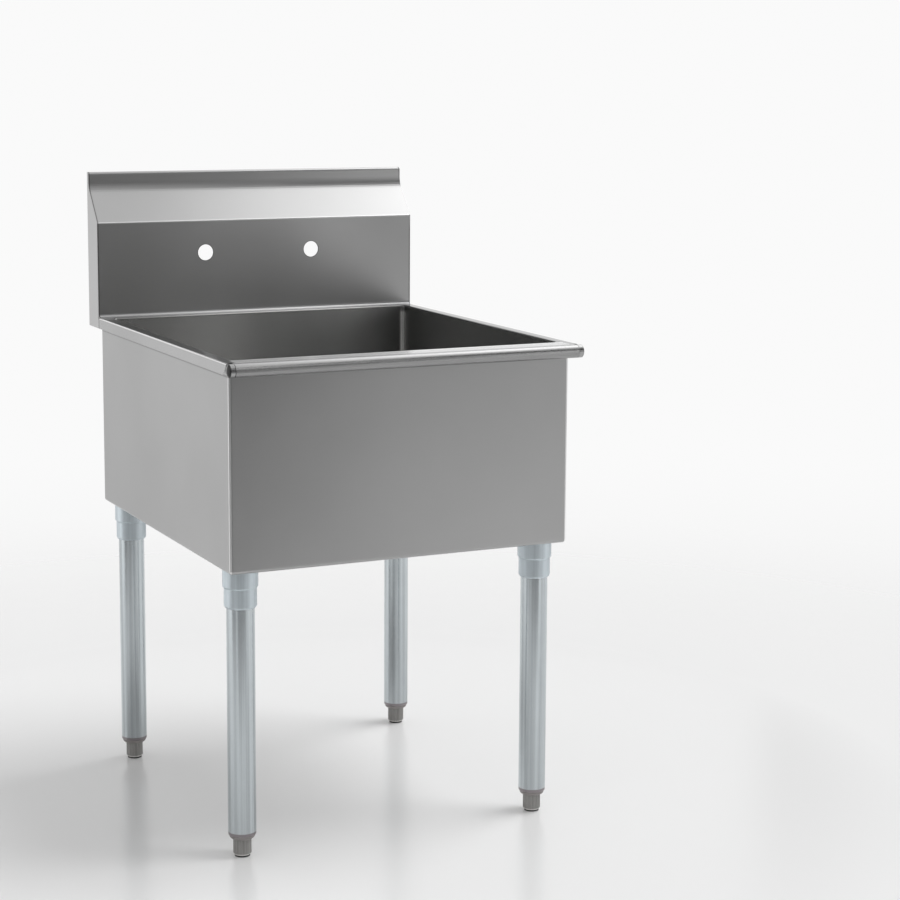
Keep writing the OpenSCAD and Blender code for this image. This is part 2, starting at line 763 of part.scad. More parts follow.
bowl();
skirt();
skirt_back_panel();
side_rim(-1);  // side_rim_left
side_rim(1);  // side_rim_right
front_rim();
roll_cap(-1);  // roll_cap_left
roll_cap(1);  // roll_cap_right
splash_panel();
splash_end(-1);  // splash_end_left
splash_end(1);  // splash_end_right
leg_plate(-1, -1);  // leg_plate_front_left
leg_plate(1, -1);  // leg_plate_front_right
leg_plate(-1, 1);  // leg_plate_rear_left
leg_plate(1, 1);  // leg_plate_rear_right
leg_socket(-1, -1);  // leg_socket_front_left
leg_socket(1, -1);  // leg_socket_front_right
leg_socket(-1, 1);  // leg_socket_rear_left
leg_socket(1, 1);  // leg_socket_rear_right
socket_set_screws();
leg_tube(-1, -1);  // leg_tube_front_left
leg_tube(1, -1);  // leg_tube_front_right
leg_tube(-1, 1);  // leg_tube_rear_left
leg_tube(1, 1);  // leg_tube_rear_right
foot_bush(-1, -1);  // foot_bush_front_left
foot_bush(1, -1);  // foot_bush_front_right
foot_bush(-1, 1);  // foot_bush_rear_left
foot_bush(1, 1);  // foot_bush_rear_right
foot(-1, -1);  // foot_front_left
foot(1, -1);  // foot_front_right
foot(-1, 1);  // foot_rear_left
foot(1, 1);  // foot_rear_right
drain_body();
drain_gasket();
drain_washer();
drain_locknut();
strainer_basket();
stopper_post();
drain_stopper();
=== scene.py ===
"""Looks of a free-standing utility laundry sink: brushed stainless body and bowl,
galvanised legs, ribbed feet and a basket drain, in a plain pale studio."""

import json
import math
from collections import namedtuple

import bpy
from mathutils import Matrix, Vector


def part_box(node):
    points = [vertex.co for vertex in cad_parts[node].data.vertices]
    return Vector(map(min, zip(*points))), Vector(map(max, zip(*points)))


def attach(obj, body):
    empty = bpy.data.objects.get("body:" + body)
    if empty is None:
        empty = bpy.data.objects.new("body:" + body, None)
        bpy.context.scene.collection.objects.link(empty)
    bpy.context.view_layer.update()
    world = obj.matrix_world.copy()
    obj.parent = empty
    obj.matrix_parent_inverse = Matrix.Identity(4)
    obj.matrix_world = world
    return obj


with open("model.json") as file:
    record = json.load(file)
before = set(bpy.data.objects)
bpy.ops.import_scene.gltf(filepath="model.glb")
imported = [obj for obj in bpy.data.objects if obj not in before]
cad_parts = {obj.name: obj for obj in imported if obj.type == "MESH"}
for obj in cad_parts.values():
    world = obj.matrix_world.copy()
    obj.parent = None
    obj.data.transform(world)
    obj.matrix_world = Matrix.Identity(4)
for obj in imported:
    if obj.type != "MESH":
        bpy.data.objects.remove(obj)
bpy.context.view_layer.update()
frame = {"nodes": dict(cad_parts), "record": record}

CORNERS = ["front_left", "front_right", "rear_left", "rear_right"]
MM_PER_M = 1000

# Camera, fitted to straight edges of the photograph: its place in metres, its turn towards
# +X, tilt down and roll in radians, and the focal length in the photograph's pixels
CAMERA_PLACE = Vector((-1.4329, -3.4544, 1.2453))
CAMERA_TURN = 0.4504
CAMERA_TILT = 0.1458
CAMERA_ROLL = 0.0061
CAMERA_FOCAL_PX = 2218.4
PHOTO_SIZE_PX = 900
SENSOR_MM = 36
SHIFT_Y = -0.07

# Colours, as linear red, green and blue
SHEET_GREY = (0.42, 0.42, 0.42)
SPLASH_GREY = (0.5, 0.5, 0.5)
RIM_GREY = (0.45, 0.45, 0.45)
CAP_GREY = (0.38, 0.38, 0.38)
# The bowl's grey is paler than the sheets' partly for its satin finish and partly as painted light
# inside the bowl
BOWL_GREY = (0.76, 0.76, 0.75)
SOCKET_ZINC = (0.62, 0.68, 0.715)
LEG_ZINC = (0.53, 0.57, 0.59)
WORN_ZINC = (0.3, 0.275, 0.285)
FOOT_BROWN = (0.27, 0.265, 0.255)
BUSH_BROWN = (0.27, 0.25, 0.245)
SCREW_BLACK = (0.06, 0.06, 0.06)
DRAIN_GREY = (0.5, 0.5, 0.49)
RUBBER_BLACK = (0.02, 0.02, 0.02)
FIBRE_BROWN = (0.25, 0.14, 0.07)
CAST_BRASS = (0.42, 0.34, 0.18)

# Brushed grain, as how finely it varies along each axis, and the direction across it
ALONG_X, OVER_X = (30, 2600, 2600), (0.0, 0.05, 1.0)
ALONG_Y, OVER_Y = (2600, 30, 2600), (1.0, 0.0, 0.05)
LEVEL, UPRIGHT = (30, 30, 2600), (0.02, 0.03, 1.0)
CAP_GRAIN, OVER_CAP = (60, 500, 60), (0.05, 0.0, 1.0)
MILL_GRAIN = (60, 60, 60)
TURNED_GRAIN = (200, 200, 200)

# Part of a noise's range that is used, and how strongly the finishes vary with it
WIDE, NARROW = (0.3, 0.7), (0.35, 0.65)
STEEL_STREAK = 0.012
STEEL_CLOUD = 0.035
STEEL_CLOUD_ROUGH = 0.012
STEEL_LINE_ROUGH = 0.003
ZINC_FINE_SHARE = 0.25
ZINC_SPANGLE = 0.02
ZINC_ROUGH = 0.03
DULL_GRAIN = 400
DULL_PATCH_GRAIN = DULL_GRAIN / 12
DULL_ROUGH = 0.06

# Edges of the CAD pieces, in metres, that the marks on the metal follow
rim_lo, rim_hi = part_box("side_rim_right")
front_lo, front_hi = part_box("front_rim")
cap_lo, cap_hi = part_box("roll_cap_right")
skirt_lo, skirt_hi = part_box("skirt")
bowl_lo, bowl_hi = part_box("bowl")
splash_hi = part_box("splash_panel")[1]
leg_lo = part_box("leg_tube_front_left")[0]
foot_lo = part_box("foot_front_left")[0]
roll_mid_z = (cap_lo.z + cap_hi.z) / 2
bowl_mid_y = (bowl_lo.y + bowl_hi.y) / 2

# Marks on the metal, in metres: how far each lies from the edge that it follows, and the
# soft width over which it comes in. A pair in X gives the places between which a shade
# changes across the sink
SOFT = 0.001

# Marks on the skirt
RIM_SHADOW_DROP = 0.0042
RIM_SHADOW_HALF = 0.001
SKIRT_BEND = 0.004

# Marks on the side rims
RIM_JOINT = 0.0034
RIM_FLAT_IN = 0.003
RIM_FLAT_DROP = 0.002
RIM_CREST = 0.0025
RIM_CREST_SOFT = 0.0007

# Marks on the splash, and the heights of its slope and lip
SLOPE_HEIGHT = 0.058
LIP_HEIGHT = 0.029
END_PLATE = 0.0005
FOLD_HALF = 0.0009
FOLD_SOFT = 0.0005
PALE_FACE_X = (-0.26, -0.06)
DARK_FACE_X = (0.08, 0.27)
TAP_HOLE_RIM = 0.0006
SEAM_IN = 0.0002
SEAM_HALF = 0.0006
SEAM_FADE = 0.01
face_top = splash_hi.z - SLOPE_HEIGHT - LIP_HEIGHT

# Marks on the front rim and its caps
ROLL_UNDER_SOFT = 0.0014
ROLL_SHINE_RISE = 0.0029
ROLL_SHINE_HALF = 0.0016
ROLL_SHINE_IN = 0.006
ROLL_SHINE_SOFT = 0.002
DECK_START = 0.018
DECK_SOFT = 0.002
DECK_EDGE = 0.004
CAP_SHADE_SIDE = 0.0045
CAP_SHADE_FRONT = 0.017
CAP_SHADE_SOFT = 0.008

# Marks in the bowl
FLANGE_BEND = 0.0045
FLANGE_BEND_SOFT = 0.003
COVE_IN = 0.016
COVE_SOFT = 0.004
COVE_DROP = 0.008
COVE_DROP_SOFT = 0.006
DARK_BOWL_X = (0.15, 0.29)
DIM_BOWL_X = (-0.06, -0.28)
DIM_BOWL_SHARE = 0.7

# Marks on the legs and feet
CURL_HEIGHT = 0.0058
CURL_SOFT = 0.0006
SOLE_HEIGHT = 0.0026
SOLE_SOFT = 0.0004
BEVEL_RISE = 0.0037
BEVEL_HALF = 0.0008

# Screw threads, in metres. A ridge's middle is sunk into its rod, so that no gap shows
STEM_R = 0.008
STEM_LENGTH = 0.045
STEM_PITCH = 0.002
STEM_RIDGE = 0.0004
CUP_R = 0.0435
CUP_THREAD_RISE = 0.0235
NUT_GAP = 0.001
OUTLET_THREAD_LENGTH = 0.010
DRAIN_PITCH = 0.0022
DRAIN_RIDGE = 0.0005
RIDGE_SINK = 0.0002
BARE_END = 0.0015
TURN_POINTS = 28
RIDGE_SIDES = 4
RIDGE_STRETCH = 2.6

# Backdrop: its brightness low and high, the heights of view between which it changes, and
# the light that it gives
BACKDROP_LOW, BACKDROP_HIGH = 0.855, 0.955
BACKDROP_TURN = (-0.28, -0.17)
BACKDROP_LIGHT = 0.6

# Floor, in metres from the middle of the sink
FLOOR_R = 6.0
FLOOR_SIDES = 96
FLOOR_GREY = (0.86, 0.86, 0.86, 1)
FLOOR_ROUGH = 0.2
FLOOR_SHEEN = 0.35
FLOOR_FADE = (0.9, 2.4)
SHEEN_FADE = (0.35, 1.05)

# Lamp: the direction of its light, its strength and how wide it looks
KEY_AIM = (-1.0, 0.15, -1.7)
KEY_STRENGTH = 1.5
KEY_WIDTH = math.radians(35)

# Walls of cards round the sink, in metres, and the heights of the front ones' tops
LEFT_X, FRONT_Y, BACK_Y = -3.6, -3.6, 4.0
FRONT_BREAK_X, FRONT_RIGHT_X = 2.6, 3.6
LEFT_BREAK_Y, LEFT_END_Y = -0.1, 3.9
BACK_BREAK_X, BACK_RIGHT_X = -1.0, 0.5
FLAG_FRONT, FLAG_BACK = (3.0, 0.1), (2.4, 2.2)
TOP_CARD_X, TOP_CARD_Y, TOP_CARD_Z = (0.2, 3.2), (-0.5, 1.3), 2.5
LOW_TOP, EYE_TOP, MID_TOP, HIGH_TOP = 0.15, 0.6, 2.4, 6.0

# A mask, with the shade and the change of roughness that it brings inside it
Mark = namedtuple("Mark", "mask shade rough", defaults=(0.0,))


def mount(name):
    """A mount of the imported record."""
    return next(m for m in frame["record"]["mounts"] if m["name"] == name)


def make_camera():
    """Camera at the photograph's viewing angle."""
    forward = Vector((
        math.sin(CAMERA_TURN) * math.cos(CAMERA_TILT),
        math.cos(CAMERA_TURN) * math.cos(CAMERA_TILT),
        -math.sin(CAMERA_TILT),
    ))
    level = Vector((math.cos(CAMERA_TURN), -math.sin(CAMERA_TURN), 0))
    upright = level.cross(forward)
    right = level * math.cos(CAMERA_ROLL) + upright * math.sin(CAMERA_ROLL)
    up = upright * math.cos(CAMERA_ROLL) - level * math.sin(CAMERA_ROLL)
    camera = bpy.data.objects.new("camera", bpy.data.cameras.new("camera"))
    camera.data.sensor_width = SENSOR_MM
    camera.data.lens = CAMERA_FOCAL_PX / PHOTO_SIZE_PX * SENSOR_MM
    camera.data.shift_y = SHIFT_Y
    camera.matrix_world = Matrix((
        (right.x, up.x, -forward.x, CAMERA_PLACE.x),
        (right.y, up.y, -forward.y, CAMERA_PLACE.y),
        (right.z, up.z, -forward.z, CAMERA_PLACE.z),
        (0, 0, 0, 1),
    ))
    bpy.context.scene.collection.objects.link(camera)
    bpy.context.scene.camera = camera


class Nodes:
    """Short way to write a node tree."""

    def __init__(self, tree):
        self.tree = tree
        tree.nodes.clear()

    def add(self, kind, inputs=None, **settings):
        """A node with its settings, and its inputs as values or as links."""
        node = self.tree.nodes.new(kind)
        for name, value in settings.items():
            setattr(node, name, value)
        for key, value in (inputs or {}).items():
            socket = node.inputs[key]
            if isinstance(value, bpy.types.NodeSocket):
                self.tree.links.new(value, socket)
            else:
                socket.default_value = value
        return node

    def math(self, operation, a, b=0.0, c=0.0):
        """One sum on up to three values."""
        node = self.add("ShaderNodeMath", {0: a, 1: b, 2: c}, operation=operation)
        return node.outputs[0]

    def times(self, a, b):
        """Product of two values; of two masks, the place that both cover."""
        return self.math("MULTIPLY", a, b)

    def size(self, value):
        """A value without its sign."""
        return self.math("ABSOLUTE", value)

    def mix(self, amount, a, b):
        """A value between two others."""
        node = self.add("ShaderNodeMix", {"Factor": amount, "A": a, "B": b}, data_type="FLOAT")
        return node.outputs[0]

    def ramp(self, value, low, high, to_low=0.0, to_high=1.0, kind="LINEAR"):
        """A value's stretch between two limits, spread between two other limits."""
        node = self.add("ShaderNodeMapRange", {
            "Value": value, "From Min": low, "From Max": high,
            "To Min": to_low, "To Max": to_high,
        }, interpolation_type=kind)
        return node.outputs[0]

    def past(self, value, edge, soft):
        """0 up to an edge and 1 from a soft width past it, to the side of that width's sign."""
        return self.ramp(value, edge, edge + soft)

    def band(self, value, place, half):
        """1 within `half` of a place, and 0 from twice as far on."""
        away = self.size(self.math("SUBTRACT", value, place))
        return self.ramp(away, half, 2 * half, 1.0, 0.0)

    def place(self):
        """Place on the piece, as a vector and as its three parts."""
        place = self.add("ShaderNodeTexCoord").outputs["Object"]
        parts = self.add("ShaderNodeSeparateXYZ", {0: place}).outputs
        return place, parts[0], parts[1], parts[2]

    def noise(self, place, scale, stretch=(1, 1, 1), detail=2.0, rough=0.5):
        """Soft random pattern, finer where the stretch is high."""
        spot = self.add("ShaderNodeMapping", {"Vector": place, "Scale": stretch})
        node = self.add("ShaderNodeTexNoise", {
            "Vector": spot.outputs[0], "Scale": scale, "Detail": detail, "Roughness": rough,
        })
        return node.outputs["Fac"]

    def bump(self, height, strength, distance):
        """Normal that follows a pattern's height."""
        node = self.add("ShaderNodeBump", {
            "Strength": strength, "Distance": distance, "Height": height,
        })
        return node.outputs[0]

    def tinted(self, colour, shade):
        """A colour times a shade that differs over the surface."""
        return self.add("ShaderNodeVectorMath", {0: colour, "Scale": shade},
                        operation="SCALE").outputs[0]


def new_material(name):
    """An empty material and its nodes."""
    material = bpy.data.materials.new(name)
    material.use_nodes = True
    return material, Nodes(material.node_tree)


def brushed_steel(name, colour, rough, grain, across, marks=(), brushed=0.7):
    """Brushed stainless sheet. `grain` stretches the fine lines, `across` points across
    them, and each mark is a mask with a shade and a change of roughness inside it."""
    material, n = new_material(name)
    place, x, y, z = n.place()
    lines = n.noise(place, scale=1, stretch=grain, detail=3, rough=0.6)
    fine = n.noise(place, scale=2.7, stretch=grain, detail=2)
    clouds = n.noise(place, scale=5.5, detail=2)
    shade = n.math("ADD", n.ramp(lines, *WIDE, 1 - STEEL_STREAK, 1 + STEEL_STREAK),
                   n.ramp(clouds, *WIDE, -STEEL_CLOUD, STEEL_CLOUD))
    roughness = n.math(
        "ADD", n.ramp(clouds, *WIDE, rough - STEEL_CLOUD_ROUGH, rough + STEEL_CLOUD_ROUGH),
        n.ramp(lines, *WIDE, -STEEL_LINE_ROUGH, STEEL_LINE_ROUGH))
    for mark in marks:
        inside = mark.mask(n, x, y, z)
        shade = n.times(shade, n.mix(inside, 1.0, mark.shade))
        roughness = n.math("MULTIPLY_ADD", inside, mark.rough, roughness)
    tangent = n.add("ShaderNodeCombineXYZ", {0: across[0], 1: across[1], 2: across[2]})
    shader = n.add("ShaderNodeBsdfPrincipled", {
        "Base Color": n.tinted(colour, shade), "Metallic": 1.0, "Roughness": roughness,
        "Normal": n.bump(fine, strength=0.003, distance=0.0002),
        "Anisotropic": brushed, "Tangent": tangent.outputs[0],
    })
    n.add("ShaderNodeOutputMaterial", {"Surface": shader.outputs[0]})
    return material


def galvanised(name, colour, rough, streak, worn=()):
    """Zinc-coated drawn tube with upright streaks and soft spangle. Each worn spot is a
    mask with the colour inside it."""
    material, n = new_material(name)
    place, x, y, z = n.place()
    fine = n.noise(place, scale=1, stretch=(700, 700, 3), detail=1)
    wide = n.noise(place, scale=1, stretch=(160, 160, 0.6), detail=1)
    spangle = n.noise(place, scale=60, stretch=(1, 1, 0.5), detail=3, rough=0.7)
    both = n.math("ADD", n.times(fine, ZINC_FINE_SHARE), n.times(wide, 1 - ZINC_FINE_SHARE))
    shade = n.math("ADD", n.ramp(both, *NARROW, 1 - streak, 1 + streak),
                   n.ramp(spangle, *WIDE, -ZINC_SPANGLE, ZINC_SPANGLE))
    finish = n.tinted(colour, shade)
    for mask, worn_colour in worn:
        finish = n.add("ShaderNodeMix", {
            "Factor": mask(n, x, y, z), "A": finish, "B": worn_colour,
        }, data_type="VECTOR").outputs[1]
    shader = n.add("ShaderNodeBsdfPrincipled", {
        "Base Color": finish, "Metallic": 1.0,
        "Roughness": n.ramp(both, *NARROW, rough + ZINC_ROUGH, rough - ZINC_ROUGH),
        "Normal": n.bump(wide, strength=0.2, distance=0.0004),
    })
    n.add("ShaderNodeOutputMaterial", {"Surface": shader.outputs[0]})
    return material


def dull(name, colour, rough, speckle=0.1, metallic=0.0, marks=(), rise=1.0):
    """Plastic, rubber or cast metal with a fine speckle, drawn out upwards by a low rise.
    Each mark is a mask with a shade inside it."""
    material, n = new_material(name)
    place, x, y, z = n.place()
    spots = n.noise(place, scale=DULL_GRAIN, stretch=(1, 1, rise), detail=3, rough=0.6)
    patches = n.noise(place, scale=DULL_PATCH_GRAIN, stretch=(1, 1, rise), detail=2)
    both = n.mix(0.5, spots, patches)
    shade = n.ramp(both, *NARROW, 1 - speckle, 1 + speckle)
    for mark in marks:
        shade = n.times(shade, n.mix(mark.mask(n, x, y, z), 1.0, mark.shade))
    shader = n.add("ShaderNodeBsdfPrincipled", {
        "Base Color": n.tinted(colour, shade), "Metallic": metallic,
        "Roughness": n.ramp(both, *WIDE, rough + DULL_ROUGH, rough - DULL_ROUGH),
        "Normal": n.bump(spots, strength=0.2, distance=0.0002),
    })
    n.add("ShaderNodeOutputMaterial", {"Surface": shader.outputs[0]})
    return material


def rim_shadow_line(n, x, y, z):
    """Painted shadow: a dark line on the skirt, right under the rim's turned-down edge."""
    return n.band(z, rim_lo.z - RIM_SHADOW_DROP, RIM_SHADOW_HALF)


def front_bend_highlight(n, x, y, z):
    """Painted highlight along the skirt's two front bends."""
    return n.times(n.past(n.size(x), skirt_hi.x - SKIRT_BEND, SOFT),
                   n.past(y, skirt_lo.y + SKIRT_BEND, -SOFT))


def rim_rear_end(n, x, y, z):
    """Dark joint where a side rim meets the splash's end plate."""
    return n.past(y, rim_hi.y - RIM_JOINT, SOFT)


def rim_top_shade(n, x, y, z):
    """Level top of a side rim, in from its bend, darkened as a painted reflection of the splash."""
    return n.times(n.past(n.size(x), rim_hi.x - RIM_FLAT_IN, -SOFT),
                   n.past(z, rim_hi.z - RIM_FLAT_DROP, SOFT))


def rim_crest_highlight(n, x, y, z):
    """Painted highlight along the bend at a side rim's top edge."""
    return n.times(n.past(n.size(x), rim_hi.x - RIM_CREST, RIM_CREST_SOFT),
                   n.past(z, rim_hi.z - RIM_CREST, RIM_CREST_SOFT))


def between_ends(n, x):
    """The splash's folded sheet, without its end plates."""
    return n.past(n.size(x), splash_hi.x - END_PLATE, -END_PLATE)


def on_face(n, x, z):
    """The splash's upright face, up to the fold below its slope."""
    return n.times(between_ends(n, x), n.past(z, face_top + FOLD_SOFT, -2 * FOLD_SOFT))


def face_fold_highlight(n, x, y, z):
    """Painted highlight along the fold between the splash's face and its slope."""
    return n.times(between_ends(n, x), n.band(z, face_top, FOLD_HALF))


# Painted light: the splash's face is made paler, but for its left end.
def pale_face(n, x, y, z):
    """Splash's face but for its left end, which the photograph shows darker."""
    return n.times(on_face(n, x, z), n.ramp(x, *PALE_FACE_X, kind="SMOOTHSTEP"))


# Painted shade: the right end of the splash's face is made darker.
def dark_face(n, x, y, z):
    """Right end of the splash's face, which the photograph shows darker."""
    return n.times(on_face(n, x, z), n.ramp(x, *DARK_FACE_X, kind="SMOOTHSTEP"))


def tap_hole_edge(n, x, y, z):
    """Dark rim round each tap hole."""
    holes = mount("tap_holes")
    across = n.math("SUBTRACT", n.size(x), holes["dims"]["spacing_x_mm"] / 2 / MM_PER_M)
    up = n.math("SUBTRACT", z, holes["pos_m"][2])
    radius = n.math("SQRT", n.math("ADD", n.times(across, across), n.times(up, up)))
    hole_r = holes["dims"]["hole_r_mm"] / MM_PER_M
    return n.past(radius, hole_r + 2 * TAP_HOLE_RIM, -TAP_HOLE_RIM)


def end_seam(n, x, y, z):
    """Thin seam between the splash and its end plates, ground away along the right slope."""
    seam = n.band(n.size(x), splash_hi.x - SEAM_IN, SEAM_HALF)
    slope = n.band(z, face_top + SLOPE_HEIGHT / 2, SLOPE_HEIGHT / 2 - SOFT)
    right_slope = n.times(n.past(x, 0.0, SEAM_FADE), slope)
    return n.times(seam, n.math("SUBTRACT", 1.0, right_slope))


def roll_under_shade(n, x, y, z):
    """Painted shade on the underside of the roll."""
    return n.past(z, roll_mid_z, -ROLL_UNDER_SOFT)


def roll_front_highlight(n, x, y, z):
    """Painted highlight in a band across the front of the roll."""
    return n.times(n.band(z, roll_mid_z + ROLL_SHINE_RISE, ROLL_SHINE_HALF),
                   n.past(y, cap_lo.y + ROLL_SHINE_IN, -ROLL_SHINE_SOFT))


def deck_highlight(n, x, y, z):
    """Painted highlight over the flat deck behind the roll."""
    return n.past(y, front_lo.y + DECK_START, DECK_SOFT)


def deck_edge_highlight(n, x, y, z):
    """Painted highlight in a line along the deck's inner edge."""
    return n.past(y, front_hi.y - DECK_EDGE, SOFT)


def cap_end_shade(n, x, y, z):
    """Painted shade on the front of a cap's domed end."""
    return n.times(n.past(n.size(x), cap_hi.x - CAP_SHADE_SIDE, SOFT),
                   n.past(y, cap_lo.y + CAP_SHADE_FRONT, -CAP_SHADE_SOFT))


def flange_top_shade(n, x, y, z):
    """Bowl's flange and the bend below it, made darker as painted shade, and smoother."""
    return n.past(z, rim_hi.z - FLANGE_BEND, FLANGE_BEND_SOFT)


def cove_highlight(n, x, y, z):
    """Painted highlight on the upright coves in the bowl's corners, below its bend."""
    away = n.size(n.math("SUBTRACT", y, bowl_mid_y))
    corner = n.times(n.past(n.size(x), bowl_hi.x - COVE_IN, COVE_SOFT),
                     n.past(away, bowl_hi.y - bowl_mid_y - COVE_IN, COVE_SOFT))
    return n.times(corner, n.past(z, rim_hi.z - COVE_DROP, -COVE_DROP_SOFT))


# Painted shade: the bowl's right end is made darker, and a little of its left end.
def bowl_end_shade(n, x, y, z):
    """Right end of the bowl, which the photograph shows darker, and a little of the left."""
    return n.math("ADD", n.ramp(x, *DARK_BOWL_X, kind="SMOOTHSTEP"),
                  n.ramp(x, *DIM_BOWL_X, 0.0, DIM_BOWL_SHARE, kind="SMOOTHSTEP"))


def curled_end(n, x, y, z):
    """Curled lower end of a leg tube, where the zinc is worn to dull steel."""
    return n.past(z, leg_lo.z + CURL_HEIGHT, -CURL_SOFT)


def foot_sole(n, x, y, z):
    """Lowest few millimetres of a foot, made nearly black."""
    return n.past(z, foot_lo.z + SOLE_HEIGHT, -SOLE_SOFT)


def foot_bevel_highlight(n, x, y, z):
    """Painted highlight on the bevel above the foot's black bottom."""
    return n.band(z, foot_lo.z + BEVEL_RISE, BEVEL_HALF)


def dress(material, *nodes):
    """Gives CAD nodes a material, in every slot that they have."""
    for node in nodes:
        for slot in frame["nodes"][node].material_slots:
            slot.material = material


def at_corners(kind):
    """Names of the four nodes of a kind, one at each corner."""
    return [kind + "_" + corner for corner in CORNERS]


def paint_splash():
    """Splash and its end plates, brushed along the wall."""
    steel = brushed_steel("steel_splash", SPLASH_GREY, rough=0.29, grain=ALONG_X, across=OVER_X, marks=[
        Mark(end_seam, shade=0.45, rough=0.1), Mark(tap_hole_edge, shade=0.35),
        Mark(pale_face, shade=1.2), Mark(dark_face, shade=0.7),
        Mark(face_fold_highlight, shade=1.6),
    ])
    dress(steel, "splash_panel", "splash_end_left", "splash_end_right")


def paint_front_rim():
    """Front rim: its deck, edge line and roll, with painted highlights and painted shade."""
    steel = brushed_steel("steel_roll", SHEET_GREY, rough=0.24, grain=ALONG_X, across=OVER_X, marks=[
        Mark(deck_highlight, shade=1.6), Mark(deck_edge_highlight, shade=1.65),
        Mark(roll_front_highlight, shade=1.45), Mark(roll_under_shade, shade=0.74),
    ])
    dress(steel, "front_rim")


def paint_skirt():
    """Skirt, brushed level all round, with a painted shadow under the rim and painted highlights on its
    bends.
    """
    steel = brushed_steel("steel_skirt", SHEET_GREY, rough=0.29, grain=LEVEL, across=UPRIGHT, marks=[
        Mark(rim_shadow_line, shade=0.6), Mark(front_bend_highlight, shade=1.85),
    ])
    dress(steel, "skirt", "skirt_back_panel")


def paint_side_rims():
    """Side rims, brushed front to back."""
    steel = brushed_steel("steel_side_rim", RIM_GREY, rough=0.18, grain=ALONG_Y, across=OVER_Y, marks=[
        Mark(rim_rear_end, shade=0.22), Mark(rim_top_shade, shade=0.65),
        Mark(rim_crest_highlight, shade=2.0),
    ])
    dress(steel, "side_rim_left", "side_rim_right")


def paint_roll_caps():
    """Domed caps on the ends of the roll."""
    steel = brushed_steel("steel_cap", CAP_GREY, rough=0.2, grain=CAP_GRAIN, across=OVER_CAP,
                          marks=[Mark(cap_end_shade, shade=0.12)])
    dress(steel, "roll_cap_left", "roll_cap_right")


def paint_bowl():
    """Satin bowl, with painted highlights on its coves and painted shade on its flange and ends."""
    steel = brushed_steel("steel_bowl", BOWL_GREY, rough=0.25, grain=LEVEL, across=UPRIGHT, marks=[
        Mark(flange_top_shade, shade=0.62, rough=-0.1), Mark(bowl_end_shade, shade=0.4),
        Mark(cove_highlight, shade=2.6),
    ], brushed=0.85)
    dress(steel, "bowl")


def paint_legs():
    """Mill-finish plates, dull zinc sockets and streaked zinc tubes."""
    dress(brushed_steel("plate_mill", SHEET_GREY, rough=0.45, grain=MILL_GRAIN, across=UPRIGHT,
                        brushed=0.0), *at_corners("leg_plate"))
    dress(galvanised("socket_zinc", SOCKET_ZINC, rough=0.5, streak=0.07),
          *at_corners("leg_socket"))
    dress(galvanised("leg_zinc", LEG_ZINC, rough=0.22, streak=0.14,
                     worn=[(curled_end, WORN_ZINC)]), *at_corners("leg_tube"))
    dress(dull("screw_black", SCREW_BLACK, rough=0.45, metallic=1.0), "socket_set_screws")


def paint_feet():
    """Ribbed feet, nearly black at the bottom, and the bushes that they screw into."""
    plastic = dull("foot_plastic", FOOT_BROWN, rough=0.3, speckle=0.28, rise=0.03, marks=[
        Mark(foot_sole, shade=0.05), Mark(foot_bevel_highlight, shade=2.6),
    ])
    dress(plastic, *at_corners("foot"))
    dress(dull("bush_plastic", BUSH_BROWN, rough=0.45), *at_corners("foot_bush"))


def paint_drain():
    """Polished drain and basket, with rubber, fibre and cast pieces."""
    dress(brushed_steel("drain_polished", DRAIN_GREY, rough=0.22, grain=TURNED_GRAIN,
                        across=UPRIGHT, brushed=0.0),
          "drain_body", "strainer_basket", "stopper_post")
    dress(dull("gasket_black", RUBBER_BLACK, rough=0.6), "drain_gasket", "drain_stopper")
    dress(dull("washer_fibre", FIBRE_BROWN, rough=0.8), "drain_washer")
    dress(dull("locknut_cast", CAST_BRASS, rough=0.45, metallic=1.0), "drain_locknut")


def thread_tree():
    """Geometry Nodes tree that winds a screw thread round an upright rod."""
    tree = bpy.data.node_groups.new("screw_thread", "GeometryNodeTree")
    sockets = tree.interface
    sockets.new_socket("Geometry", in_out="INPUT", socket_type="NodeSocketGeometry")
    for name in ("Rod Radius", "Length", "Pitch", "Ridge Height"):
        sockets.new_socket(name, in_out="INPUT", socket_type="NodeSocketFloat")
    sockets.new_socket("Foot", in_out="INPUT", socket_type="NodeSocketVector")
    sockets.new_socket("Finish", in_out="INPUT", socket_type="NodeSocketMaterial")
    sockets.new_socket("Geometry", in_out="OUTPUT", socket_type="NodeSocketGeometry")
    n = Nodes(tree)
    given = n.add("NodeGroupInput").outputs
    turns = n.math("DIVIDE", given["Length"], given["Pitch"])
    helix = n.add("GeometryNodeCurveSpiral", {
        "Resolution": TURN_POINTS, "Rotations": turns, "Start Radius": given["Rod Radius"],
        "End Radius": given["Rod Radius"], "Height": given["Length"],
    })
    ridge = n.add("GeometryNodeCurvePrimitiveCircle", {
        "Resolution": RIDGE_SIDES, "Radius": given["Ridge Height"],
    }, mode="RADIUS")
    stretched = n.add("GeometryNodeTransform", {
        "Geometry": ridge.outputs["Curve"], "Scale": (1.0, RIDGE_STRETCH, 1.0),
    })
    wound = n.add("GeometryNodeCurveToMesh", {
        "Curve": helix.outputs["Curve"], "Profile Curve": stretched.outputs["Geometry"],
        "Fill Caps": True,
    })
    placed = n.add("GeometryNodeTransform", {
        "Geometry": wound.outputs["Mesh"], "Translation": given["Foot"],
    })
    real = n.add("GeometryNodeRealizeInstances", {"Geometry": placed.outputs["Geometry"]})
    dressed = n.add("GeometryNodeSetMaterial", {
        "Geometry": real.outputs["Geometry"], "Material": given["Finish"],
    })
    n.add("NodeGroupOutput", {"Geometry": dressed.outputs["Geometry"]})
    return tree


